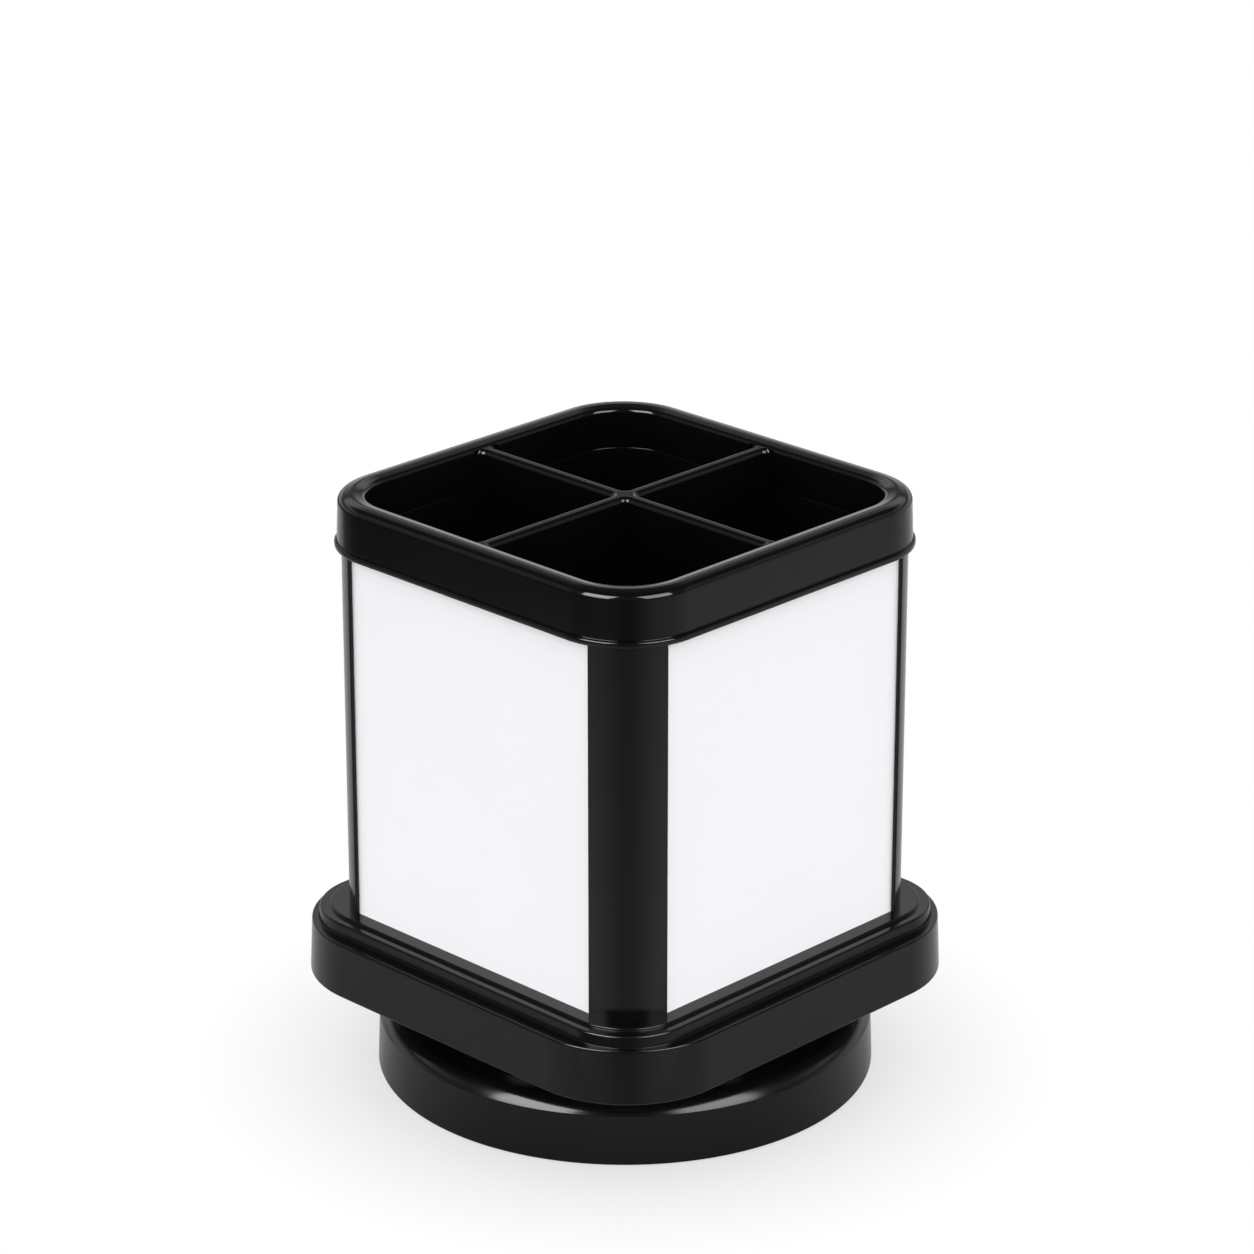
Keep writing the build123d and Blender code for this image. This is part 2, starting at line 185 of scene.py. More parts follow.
    bead_proud: size("Bead height", "How far the bead stands out of the rim", 0.45 * MM)
    bead_width: size("Bead width", "Width of the bead along the rim", 1.2 * MM)
    bead_round: size("Bead rounding", "Rounding of the bead", 0.42 * MM)
    bead_groove: size("Bead groove", "Depth and width of the groove above the bead", 0.3 * MM)
    divider_wall: size("Divider", "Thickness of the dividers", 2.6 * MM)
    divider_round: size("Divider top", "Rounding of the tops of the dividers", 1.1 * MM)
    divider_flare: size("Divider flare", "Radius of the flared ends of the dividers", 1.4 * MM)
    divider_crotch: size("Divider crotch", "Radius of the corners where the dividers cross", 1.0 * MM)
    crisp_edge: size("Crisp edge", "Rounding of edges that look sharp", 0.12 * MM)


class PenStandFinishes(PropertyGroup):
    """Colours of the finishes and the sizes of their patterns."""

    gloss_black: colour("Polished black", "Polished black moulding of the rim and the dividers", "070708")
    satin_black: colour("Satin black", "Satin black moulding of the posts, plinth and base", "090909")
    panel_white: colour("Panel white", "Coated white sheet of the panels", "F3F3F6")
    pad_black: colour("Pad black", "Rubber of the foot pads", "191919")
    glide_white: colour("Glide white", "Acetal of the glide ring", "E2E0DA")
    zinc_grey: colour("Zinc grey", "Zinc plating of the screws and the washer", "B9BCC0")
    floor_pale: number("Floor pale", "Share of light that the pale sheet under the stand sends back", 0.62)
    floor_bounce: number("Floor bounce", "Share of light that it sends on as soft light", 0.12)
    smudge: size("Smudge", "Width of the soft patches in the gloss of a moulding", 26.0 * MM)
    relief: size("Relief", "Height of the grain of a moulding", 0.02 * MM)
    crystal: size("Crystal", "Width of the crystals of the zinc plating", 0.5 * MM)


class PenStandStudio(PropertyGroup):
    """Camera, lamps, surround and floor."""

    azimuth: angle("Azimuth", "Turn of the camera round the stand", 44.4)
    elevation: angle("Elevation", "Tilt of the camera above the horizon", 21.43)
    distance: size("Distance", "Camera to aiming point", 821.5 * MM)
    aim_height: size("Aim height", "Height of the aiming point", 82.6 * MM)
    aim_right: size("Aim right", "Aiming point to the right of the axis", 0.34 * MM)
    lens: number("Lens", "Focal length in millimetres", 134.8)
    sensor: number("Sensor", "Sensor width in millimetres", 36.0)
    lamp_turn: angle("Lamp turn", "Turn of each softbox away from the camera", 44.0)
    lamp_tilt: angle("Lamp tilt", "Tilt of the softboxes above the horizon", 40.0)
    lamp_distance: size("Lamp distance", "Softbox to the middle of the stand", 1100.0 * MM)
    lamp_width: size("Lamp width", "Width of a softbox", 700.0 * MM)
    key_power: number("Key", "Power of the left softbox in watts", 27.0)
    fill_power: number("Fill", "Power of the right softbox in watts", 18.0)
    dome: number("Dome", "Strength of the soft surrounding light near the horizon", 2.66)
    dome_top: number("Dome top", "Strength of the soft light from overhead", 0.5)
    dome_low: number("Dome below", "Strength of the soft light from below the horizon", 0.1)
    mirrored_near: number("Mirrored near", "What gloss sees above the horizon on the camera's side", 0.2)
    mirrored_back: number("Mirrored back", "What gloss sees low above the horizon behind the stand", 1.0)
    mirrored_band: number("Mirrored band", "What gloss sees higher up behind, where ledges mirror it", 1.0)
    mirrored_top: number("Mirrored top", "What gloss sees overhead", 0.1)
    mirrored_low: number("Mirrored low", "What gloss sees steeply below the horizon before the floor", 0.55)
    mirrored_side: number("Mirrored side", "What gloss sees steeply below the horizon at the sides", 1.25)
    mirrored_far: number("Mirrored far", "What gloss sees just below the horizon before the floor", 0.12)
    mirrored_wide: number("Mirrored wide", "What gloss sees just below the horizon at the sides", 0.43)
    mirrored_lean: number("Mirrored lean",
                          "How far the right side outshines the left just below the horizon", 0.8)
    floor_side: size("Floor side", "Reach of the floor to both sides of the stand", 285.0 * MM)
    floor_front: size("Floor front", "Reach of the floor towards the camera", 95.0 * MM)
    floor_rear: size("Floor rear", "Reach of the floor behind the stand", 300.0 * MM)
    floor_corner: size("Floor corner", "Corner radius of the floor", 60.0 * MM)
    floor_lift: number("Floor lift", "Share of white that lifts the floor beside the stand", 0.62)
    fade_start: size("Fade start", "Distance from the axis where the floor starts to turn white", 45.0 * MM)
    fade_end: size("Fade end", "Distance from the axis where the floor is white", 78.0 * MM)


def outline(arc_steps, side_steps):
    """Rounded square by shares: a point is signs * (half - corner) + normal * corner.

    Each quarter has an arc, where the signs stay and the normal turns by a right angle, and a side,
    where the normal stays and the signs run from one corner to the next."""
    signs = np.array([(1, 1), (-1, 1), (-1, -1), (1, -1)], float)
    following = np.roll(signs, -1, axis=0)
    turn = (np.arange(4)[:, None] + np.linspace(0, 1, arc_steps + 1)[None, :]) * QUARTER
    arc_normals = np.stack([np.cos(turn), np.sin(turn)], axis=2)
    share = np.arange(1, side_steps)[None, :, None] / side_steps
    side_signs = signs[:, None] * (1 - share) + following[:, None] * share
    side_normals = np.repeat(arc_normals[:, -1:], side_steps - 1, axis=1)
    arc_signs = np.repeat(signs[:, None], arc_steps + 1, axis=1)
    return (np.concatenate([arc_signs, side_signs], axis=1).reshape(-1, 2),
            np.concatenate([arc_normals, side_normals], axis=1).reshape(-1, 2))


def arc(centre, radius, start, end, steps):
    """Points of an arc in plan: centre + radius * (cos t, sin t), with t from start to end in radians."""
    turn = np.linspace(start, end, steps)
    return np.asarray(centre, float) + radius * np.stack([np.cos(turn), np.sin(turn)], axis=1)


def rounded(rows, steps, closed=True):
    """Profile with each corner replaced by an arc; a row is a point with the radius of its corner last.

    With unit sides u and v leaving a corner at angle t, the arc of radius r starts r / tan(t/2) along u and
    ends as far along v. Its points are a*u + b*v, with a and b from the spherical blend of its end radii.
    The arc lies in the first and the last column of the points, and a column between them follows as
    shares of the two sides."""
    rows = np.asarray(rows, float)
    points, radii = rows[:, :-1], rows[:, -1]
    before = np.roll(points, 1, axis=0) - points
    after = np.roll(points, -1, axis=0) - points
    long_before = np.linalg.norm(before[:, [0, -1]], axis=1)
    long_after = np.linalg.norm(after[:, [0, -1]], axis=1)
    cosine = np.sum(before[:, [0, -1]] * after[:, [0, -1]], axis=1) / (long_before * long_after)
    corner = np.arccos(np.clip(cosine, -NEARLY_STRAIGHT, NEARLY_STRAIGHT))
    tangent = (radii / np.tan(corner / 2))[:, None]
    middle = (radii / np.sin(corner))[:, None]
    sweep = (math.pi - corner)[:, None]
    share = np.linspace(0, 1, steps + 1)[None, :]
    first = np.sin((1 - share) * sweep) / np.sin(sweep)
    last = np.sin(share * sweep) / np.sin(sweep)
    along_before = (middle + first * (tangent - middle) - last * middle) / long_before[:, None]
    along_after = (middle - first * middle + last * (tangent - middle)) / long_after[:, None]
    arcs = (points[:, None] + along_before[:, :, None] * before[:, None]
            + along_after[:, :, None] * after[:, None])
    if closed:
        return arcs.reshape(-1, points.shape[1])
    return np.concatenate([points[:1], arcs[1:-1].reshape(-1, points.shape[1]), points[-1:]])


def raised(flat, heights):
    """Grid whose rows of (x, y) points each get one of the heights as their z."""
    level = np.broadcast_to(np.asarray(heights)[:, None, None], flat.shape[:2] + (1,))
    return np.concatenate([flat, level], axis=2)


def lofted(rows, arc_steps=24, side_steps=8):
    """Surface through rounded squares, one for each row of (half width, corner radius, height)."""
    signs, normals = outline(arc_steps, side_steps)
    half, corner = rows[:, 0, None, None], rows[:, 1, None, None]
    return raised(signs[None] * (half - corner) + normals[None] * corner, rows[:, 2])


def lathed(profile, steps=144):
    """Surface of revolution: each (radius, height) goes round as (radius cos t, radius sin t, height)."""
    turn = np.arange(steps) * FULL_TURN / steps
    circle = np.stack([np.cos(turn), np.sin(turn)], axis=1)
    return raised(profile[:, 0, None, None] * circle[None], profile[:, 1])


def upright(plan, heights):
    """Prism grid: the same plan of (x, y) points at each height."""
    return raised(np.broadcast_to(plan, (len(heights),) + plan.shape), heights)


def strips(count, columns, closed=False):
    """Four-sided faces between the rows of a grid whose columns close on themselves."""
    low = np.arange(count if closed else count - 1)[:, None]
    high = (low + 1) % count
    here = np.arange(columns)[None, :]
    there = (here + 1) % columns
    corners = [low * columns + here, low * columns + there, high * columns + there, high * columns + here]
    return np.stack(np.broadcast_arrays(*corners), axis=2).reshape(-1, 4).tolist()


def ring(grid):
    """Vertices and faces of a grid that closes both ways."""
    return grid.reshape(-1, 3), strips(grid.shape[0], grid.shape[1], closed=True)


def capped(grid):
    """Vertices and faces of a grid with a flat face over its first and its last row."""
    count, columns = grid.shape[:2]
    first = np.arange(columns)[::-1].tolist()
    last = (np.arange(columns) + (count - 1) * columns).tolist()
    return grid.reshape(-1, 3), strips(count, columns) + [first, last]


def joined(shells):
    """Several shells as one set of vertices and faces."""
    vertices, faces, offset = [], [], 0
    for points, polygons in shells:
        vertices.append(points)
        faces += [[corner + offset for corner in polygon] for polygon in polygons]
        offset += len(points)
    return np.concatenate(vertices), faces


def spun(shell, turns):
    """Copies of a shell turned about the upright axis by each angle in turns, in radians."""
    points, faces = shell
    return [(points @ np.array([[math.cos(turn), math.sin(turn), 0], [-math.sin(turn), math.cos(turn), 0],
                                [0, 0, 1]]), faces) for turn in turns]


def piece(name, shell, material, body, nodes):
    """Mesh object at the origin that rides on a body and stands for its solids."""
    vertices, faces = shell
    mesh = bpy.data.meshes.new(name)
    mesh.from_pydata(vertices.tolist(), [], faces)
    mesh.polygons.foreach_set("use_smooth", np.ones(len(mesh.polygons), bool))
    mesh.set_sharp_from_angle(angle=SHARP_EDGE)
    mesh.materials.append(material)
    mesh.update()
    made = bpy.data.objects.new(name, mesh)
    bpy.context.scene.collection.objects.link(made)
    weighted = made.modifiers.new("even_normals", "WEIGHTED_NORMAL")
    weighted.keep_sharp = True
    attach(made, body)
    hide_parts(*nodes)


def add(owner, kind, settings=(), sources=(), **links):
    """Adds a node with its settings, and links its inputs, in their order or by name.

    A link comes from the socket that is given for it, or from the first output of a node."""
    tree = owner.node_tree
    made = tree.nodes.new(kind)
    for key, value in dict(settings).items():
        if hasattr(made, key):
            setattr(made, key, value)
        else:
            made.inputs[key].default_value = value
    named = {key.replace("_", " "): source for key, source in links.items()}
    for key, source in [*enumerate(sources), *named.items()]:
        tree.links.new(getattr(source, "outputs", [source])[0], made.inputs[key])
    return made


def blank(name):
    """Empty node material."""
    material = bpy.data.materials.new(name)
    material.use_nodes = True
    material.node_tree.nodes.clear()
    return material


def finish(maker):
    """The material of a maker function, made the first time that a piece asks for it."""
    name = maker.__name__
    return bpy.data.materials.get(name) or maker(blank(name), bpy.context.scene.pen_stand_finishes)


def moulded(material, tints, tint, gloss, shade, grain, depth, shader):
    """Moulding: roughness and shade drift over wide soft patches, and a grain lifts the surface.

    gloss and shade are the lowest and highest values that the patches give; grain is a width, and depth a
    share of the height of the relief."""
    # The range that the noise of the patches mostly stays in
    usual = {"From Min": 0.3, "From Max": 0.7}
    place = add(material, "ShaderNodeTexCoord").outputs["Object"]
    patch = add(material, "ShaderNodeTexNoise", {"Scale": 1 / tints.smudge, "Detail": 2.0}, Vector=place)
    rough = add(material, "ShaderNodeMapRange", {**usual, "To Min": gloss[0], "To Max": gloss[1]},
                Value=patch)
    value = add(material, "ShaderNodeMapRange", {**usual, "To Min": shade[0], "To Max": shade[1]},
                Value=patch)
    tone = add(material, "ShaderNodeHueSaturation", {"Color": (*tint, 1)}, Value=value)
    fleck = add(material, "ShaderNodeTexNoise", {"Scale": 1 / grain, "Detail": 1.0}, Vector=place)
    lift = add(material, "ShaderNodeBump", {"Strength": depth, "Distance": tints.relief}, Height=fleck)
    surface = add(material, "ShaderNodeBsdfPrincipled", shader,
                  Base_Color=tone, Roughness=rough, Normal=lift)
    add(material, "ShaderNodeOutputMaterial", Surface=surface)
    return material


def abs_polished_black(material, tints):
    """ABS from a polished tool: deep black with clear reflections, a little wavy over a few millimetres."""
    return moulded(material, tints, tints.gloss_black, gloss=(0.09, 0.12), shade=(0.8, 1.2), grain=5.0 * MM,
                   depth=0.08, shader={"IOR": 1.46, "Specular IOR Level": 0.28})


def abs_satin_black(material, tints):
    """ABS from a satin tool: soft reflections; its spark grain is drawn at twice its width, to show."""
    return moulded(material, tints, tints.satin_black, gloss=(0.14, 0.18), shade=(0.8, 1.2), grain=0.5 * MM,
                   depth=0.05, shader={"IOR": 1.46, "Specular IOR Level": 0.28})


def sheet_coated_white(material, tints):
    """Coated polystyrene sheet: near white and satin, with the faint mottle of a rolled coat."""
    return moulded(material, tints, tints.panel_white, gloss=(0.36, 0.44), shade=(0.99, 1.0), grain=1.6 * MM,
                   depth=0.06, shader={"IOR": 1.5, "Specular IOR Level": 0.4})


def rubber_moulded_black(material, tints):
    """Moulded rubber: dull grey black with a fine tooth."""
    return moulded(material, tints, tints.pad_black, gloss=(0.7, 0.8), shade=(0.8, 1.3), grain=0.4 * MM,
                   depth=0.6, shader={"IOR": 1.5})


def acetal_smooth_white(material, tints):
    """Moulded acetal: milky, smooth and a little waxy."""
    return moulded(material, tints, tints.glide_white, gloss=(0.32, 0.4), shade=(0.97, 1.0), grain=0.5 * MM,
                   depth=0.2, shader={"IOR": 1.48})


def steel_zinc_plated(material, tints):
    """Zinc-plated steel: grey metal whose gloss varies from crystal to crystal."""
    place = add(material, "ShaderNodeTexCoord").outputs["Object"]
    crystal = add(material, "ShaderNodeTexVoronoi", {"Scale": 1 / tints.crystal}, Vector=place)
    rough = add(material, "ShaderNodeMapRange", {"To Min": 0.28, "To Max": 0.42}, Value=crystal)
    surface = add(material, "ShaderNodeBsdfPrincipled",
                  {"Base Color": (*tints.zinc_grey, 1), "Metallic": 1.0}, Roughness=rough)
    add(material, "ShaderNodeOutputMaterial", Surface=surface)
    return material


class PENSTAND_OT_base(Operator):
    """Turn the round base with its hub, ribs and pad seats"""

    bl_idname = "pen_stand.base"
    bl_label = "Round base"

    def execute(self, context):
        s = context.scene.pen_stand_sizes
        low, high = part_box("base_shell")
        pad_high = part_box("foot_pads")[1]
        crisp = s.crisp_edge
        top = high.x - s.base_draft
        inside = top - s.base_wall
        hub = s.hub_bore + s.hub_wall
        under = high.z - s.base_deck
        shells = [ring(lathed(self.profile(s, low, high, top, inside, hub, under)))]
        signs, normals = outline(arc_steps=2, side_steps=1)
        spread = np.array([(inside - hub) / 2 + s.rib_sink, s.rib / 2])
        middle = np.array([(hub + inside) / 2, 0])
        bar = signs * (spread - crisp) + normals * crisp + middle
        shells += spun(capped(upright(bar, (s.hub_end + s.rib_rise, under + s.rib_sink))), RIBS)
        seat = s.pad_radius + s.pad_play
        boss = seat + s.pad_boss
        end = pad_high.z - s.pad_seat
        section = rounded([
            (crisp, pad_high.z, 0),
            (seat, pad_high.z, crisp),
            (seat, end, crisp),
            (boss, end, crisp),
            (boss, under + s.rib_sink, 0),
        ], steps=3, closed=False)
        pad_ring = math.hypot(pad_high.x - s.pad_radius, pad_high.y - s.pad_radius)
        shells += spun(capped(lathed(section, steps=48) + np.array([pad_ring, 0, 0])), DIAGONALS)
        piece("base_moulding", joined(shells), finish(abs_satin_black), "base", ["base_shell"])
        return {"FINISHED"}

    def profile(self, s, low, high, top, inside, hub, under):
        """Section of the base: up the wall, over shoulder and deck, down the bore and back underneath.

        The bulge is a rounded corner that stands out of the middle of the shoulder's slope by the bow."""
        glide_low, glide_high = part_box("glide_ring")
        crisp = s.crisp_edge
        groove = glide_high.x + s.glide_play
        groove_in = glide_high.x - s.glide_width - s.glide_play
        bow = s.shoulder_bow / math.hypot(s.shoulder_width, s.shoulder_rise)
        bulge = top - s.shoulder_width / 2 + bow * s.shoulder_rise
        bulge_z = high.z - s.shoulder_rise / 2 + bow * s.shoulder_width
        return rounded([
            (high.x, low.z, s.base_foot_round),
            (top, high.z - s.shoulder_rise, s.base_round),
            (bulge, bulge_z, s.shoulder_round),
            (top - s.shoulder_width, high.z, crisp),
            (groove, high.z, crisp),
            (groove, glide_low.z, crisp),
            (groove_in, glide_low.z, crisp),
            (groove_in, high.z, crisp),
            (s.hub_bore, high.z, crisp),
            (s.hub_bore, s.hub_end, crisp),
            (hub, s.hub_end, crisp),
            (hub, under, crisp),
            (inside, under, crisp),
            (inside, low.z, crisp),
        ], steps=6)


class PENSTAND_OT_pads(Operator):
    """Turn the four rubber foot pads"""

    bl_idname = "pen_stand.pads"
    bl_label = "Foot pads"

    def execute(self, context):
        s = context.scene.pen_stand_sizes
        low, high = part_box("foot_pads")
        groove, radius, crisp = s.pad_groove, s.pad_radius, s.crisp_edge
        middle = radius / 2
        section = rounded([
            (crisp, low.z, 0),
            (middle - groove, low.z, crisp),
            (middle - groove / 2, low.z + groove, crisp),
            (middle + groove / 2, low.z + groove, crisp),
            (middle + groove, low.z, crisp),
            (radius, low.z, s.pad_round),
            (radius, high.z, crisp),
            (crisp, high.z, 0),
        ], steps=5, closed=False)
        pad_ring = math.hypot(high.x - radius, high.y - radius)
        pads = spun(capped(lathed(section, steps=64) + np.array([pad_ring, 0, 0])), DIAGONALS)
        piece("pads_moulded", joined(pads), finish(rubber_moulded_black), "base", ["foot_pads"])
        return {"FINISHED"}


class PENSTAND_OT_plinth(Operator):
    """Loft the stepped square plinth"""

    bl_idname = "pen_stand.plinth"
    bl_label = "Stepped plinth"

    def execute(self, context):
        s = context.scene.pen_stand_sizes
        low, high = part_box("plinth")
        tub_low, tub_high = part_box("pen_tub")
        seat_z = high.z - s.seat_height
        ledge_z = seat_z - s.step_height
        wall, wall_corner = high.x - s.plinth_draft, s.plinth_corner - s.plinth_draft
        step = wall - s.ledge_width
        seat = step - s.step_width
        hole = tub_high.x - s.flange_reach + s.tub_play
        hole_corner = s.tub_corner + s.tub_wall + s.tub_play
        cavity, cavity_corner = wall - s.plinth_wall, wall_corner - s.plinth_wall
        collar, collar_corner = hole + s.collar_wall, hole_corner + s.collar_wall
        flange_z = tub_low.z + s.flange_thickness
        roof_z = ledge_z - s.plinth_roof
        edge, crisp = s.plinth_round, s.crisp_edge
        rows = rounded([
            (high.x, s.plinth_corner, low.z, edge),
            (wall, wall_corner, ledge_z, edge),
            (step + s.step_draft, s.step_corner + s.step_draft, ledge_z, crisp),
            (step, s.step_corner, seat_z, edge),
            (seat, s.seat_corner, seat_z, crisp),
            (seat, s.seat_corner, high.z, s.seat_round),
            (hole, hole_corner, high.z, crisp),
            (hole, hole_corner, flange_z, crisp),
            (collar, collar_corner, flange_z, crisp),
            (collar, collar_corner, roof_z, crisp),
            (cavity, cavity_corner, roof_z, crisp),
            (cavity, cavity_corner, low.z, crisp),
        ], steps=6)
        piece("plinth_moulding", ring(lofted(rows)), finish(abs_satin_black), "turret", ["plinth"])
        return {"FINISHED"}


class PENSTAND_OT_posts(Operator):
    """Draw the four grooved corner posts"""

    bl_idname = "pen_stand.posts"
    bl_label = "Corner posts"

    def execute(self, context):
        s = context.scene.pen_stand_sizes
        low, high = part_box("corner_post_right")
        panel_low, panel_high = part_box("panel_front_right")
        rim_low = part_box("top_rim")[0].z
        hollow = s.tub_corner + s.tub_wall + s.tub_play
        hollow_middle = panel_low.x - hollow
        slot_end = low.x + s.lip_slot
        plan = self.plan(s, low.x, slot_end, panel_low.x, panel_high.x, hollow, hollow_middle)
        corner = s.rim_channel_corner - s.rim_play
        corner_middle = panel_high.x + s.rim_gap - s.rim_play - corner
        outer = math.asin((slot_end - corner_middle) / corner)
        inner = math.asin((slot_end - hollow_middle) / hollow)
        tenon = np.concatenate([arc((corner_middle,) * 2, corner, outer, QUARTER - outer, steps=16),
                                arc((hollow_middle,) * 2, hollow, QUARTER - inner, inner, steps=12)])
        shell = joined([capped(upright(plan, (low.z, rim_low))),
                        capped(upright(tenon, (rim_low - s.rib_sink, high.z)))])
        for name, turned in zip(CORNERS, spun(shell, QUARTERS)):
            piece("post_" + name, turned, finish(abs_satin_black), "turret", ["corner_post_" + name])
        return {"FINISHED"}

    def plan(self, s, edge, slot_end, panel_back, panel_face, hollow, hollow_middle):
        """Plan of the post at +X +Y: half of it, from mid-face round a lip, then its mirror image.

        The face is an arc through both lip tips that bulges by the bow, of radius
        (half chord^2 + bow^2) / (2 bow). It stops four roundings short of a tip, which is rounded off."""
        tip = panel_face + s.post_proud
        half_chord = (tip - edge) / math.sqrt(2)
        radius = (half_chord ** 2 + s.post_bow ** 2) / (2 * s.post_bow)
        centre = ((tip + edge) / math.sqrt(2) + s.post_bow - radius) / math.sqrt(2)
        short = 4 * s.post_round
        swing = math.asin(half_chord / radius) - short / radius
        face = arc((centre,) * 2, radius, QUARTER / 2, QUARTER / 2 + swing, steps=14)
        start = math.acos((edge - hollow_middle) / hollow)
        back = arc((hollow_middle,) * 2, hollow, start, QUARTER / 2, steps=12)
        outside = panel_face + s.panel_play
        inside = panel_back - s.panel_play
        crisp = s.crisp_edge
        lip = rounded([
            (*face[-1], 0),
            (edge, tip, s.post_round),
            (edge, outside, crisp),
            (slot_end, outside, crisp),
            (slot_end, inside, crisp),
            (edge, inside, crisp),
            (*back[0], 0),
        ], steps=4, closed=False)
        half = np.concatenate([face[:-1], lip, back[1:]])
        return np.concatenate([half, half[-2:0:-1, ::-1]])


class PENSTAND_OT_panels(Operator):
    """Cut the four white panels with eased edges"""

    bl_idname = "pen_stand.panels"
    bl_label = "White panels"

    def execute(self, context):
        s = context.scene.pen_stand_sizes
        low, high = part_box("panel_front_right")
        signs, normals = outline(arc_steps=6, side_steps=4)
        spread = np.array([high.y, (high.z - low.z) / 2])
        middle = np.array([0, (low.z + high.z) / 2])
        # A rounded rectangle, drawn in at each depth by the inset of the eased edge
        section = rounded([
            (s.panel_corner / 2, low.x, 0),
            (0, low.x, s.panel_round),
            (0, high.x, s.panel_round),
            (s.panel_corner / 2, high.x, 0),
        ], steps=4, closed=False)
        inset = section[:, 0, None, None]
        flat = signs[None] * (spread - s.panel_corner) + normals[None] * (s.panel_corner - inset) + middle
        grid = np.roll(raised(flat, section[:, 1]), 1, axis=2)
        for name, shell in zip(SIDES, spun(capped(grid), QUARTERS)):
            piece("sheet_" + name, shell, finish(sheet_coated_white), "turret", ["panel_" + name])
        return {"FINISHED"}


class PENSTAND_OT_tub(Operator):
    """Loft the pen tub from its floor to its mouth"""

    bl_idname = "pen_stand.tub"
    bl_label = "Pen tub"

    def execute(self, context):
        s = context.scene.pen_stand_sizes
        low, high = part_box("pen_tub")
        floor, flange = low.z + s.tub_floor, low.z + s.flange_thickness
        outer, corner = high.x - s.flange_reach, s.tub_corner + s.tub_wall
        inner = outer - s.tub_wall
        mouth, mouth_corner = inner + s.tub_rebate, s.tub_corner + s.tub_rebate
        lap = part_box("top_rim")[1].z - s.rim_deck - s.rim_lap - s.rim_seam
        crisp = s.crisp_edge
        # Half width of the tiny square on which the floor closes, above and below
        pole = 2 * crisp
        rows = rounded([
            (pole, crisp, low.z, 0),
            (high.x, s.flange_corner, low.z, crisp),
            (high.x, s.flange_corner, flange, crisp),
            (outer, corner, flange, crisp),
            (outer, corner, high.z, crisp),
            (mouth, mouth_corner, high.z, crisp),
            (mouth, mouth_corner, lap, crisp),
            (inner, s.tub_corner, lap, crisp),
            (inner, s.tub_corner, floor, s.tub_foot_round),
            (pole, crisp, floor, 0),
        ], steps=5, closed=False)
        piece("tub_moulding", capped(lofted(rows)), finish(abs_satin_black), "turret", ["pen_tub"])
        return {"FINISHED"}


class PENSTAND_OT_dividers(Operator):
    """Draw the crossing dividers with rounded tops and flared ends"""

    bl_idname = "pen_stand.dividers"
    bl_label = "Dividers"

    def execute(self, context):
        s = context.scene.pen_stand_sizes
        low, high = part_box("divider_cross")
        reach, half, flare, crotch = high.x, s.divider_wall / 2, s.divider_flare, s.divider_crotch
        bends = [
            ((reach - flare, half + flare), flare, 0),
            ((half + crotch, half + crotch), crotch, -QUARTER),
            ((half + flare, reach - flare), flare, 2 * QUARTER),
        ]
        quarter = np.concatenate([arc(middle, bend, start, start - QUARTER, steps=9)
                                  for middle, bend, start in bends])
        facing = np.concatenate([-arc((0, 0), 1, start, start - QUARTER, steps=9)
                                 for middle, bend, start in bends])
        turns = [np.linalg.matrix_power(np.array([[0, 1], [-1, 0]]), index) for index in range(4)]
        plan = np.concatenate([quarter @ turn for turn in turns])
        facing = np.concatenate([facing @ turn for turn in turns])
        # Each point of the plan moves in along its normal by the inset of the rounded top at its height
        section = rounded([
            (0, low.z, 0),
            (0, high.z, s.divider_round),
            (half, high.z, 0),
        ], steps=10, closed=False)[:-1]
        flat = np.clip(plan[None] - section[:, 0, None, None] * facing[None], -reach, reach)
        grid = raised(flat, section[:, 1])
        piece("divider_moulding", capped(grid), finish(abs_polished_black), "turret", ["divider_cross"])
        return {"FINISHED"}


class PENSTAND_OT_rim(Operator):
    """Sweep the glossy top rim with its bead"""

    bl_idname = "pen_stand.rim"
    bl_label = "Top rim"

    def execute(self, context):
        s = context.scene.pen_stand_sizes
        low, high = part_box("top_rim")
        wall = high.x - s.bead_proud
        top, top_corner = wall - s.rim_draft, s.rim_corner - s.rim_draft
        channel = wall - s.rim_wall
        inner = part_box("pen_tub")[1].x - s.flange_reach - s.tub_wall
        lap, lap_corner = inner + s.rim_inner_wall, s.tub_corner + s.rim_inner_wall
        under = high.z - s.rim_deck
        bead_z = low.z + s.bead_width
        groove, crisp = s.bead_groove, s.crisp_edge
        crest_z = high.z + s.rim_crest_round * (1 / math.cos(s.rim_crown) - 1)
        edge_z = crest_z - (top - inner) / 2 * math.tan(s.rim_crown)
        rows = rounded([
            (high.x, s.rim_corner + s.bead_proud, low.z, s.bead_round),
            (high.x, s.rim_corner + s.bead_proud, bead_z, s.bead_round),
            (wall - groove, s.rim_corner - groove, bead_z, crisp),
            (wall, s.rim_corner, bead_z + groove, crisp),
            (top, top_corner, edge_z, s.rim_round),
            ((top + inner) / 2, (top_corner + s.tub_corner) / 2, crest_z, s.rim_crest_round),
            (inner, s.tub_corner, edge_z, s.rim_inner_round),
            (inner, s.tub_corner, under - s.rim_lap, crisp),
            (lap, lap_corner, under - s.rim_lap, crisp),
            (lap, lap_corner, under, crisp),
            (channel, s.rim_channel_corner, under, crisp),
            (channel, s.rim_channel_corner, low.z, crisp),
        ], steps=10)
        grid = lofted(rows, arc_steps=32, side_steps=10)
        piece("rim_moulding", ring(grid), finish(abs_polished_black), "rim", ["top_rim"])
        return {"FINISHED"}


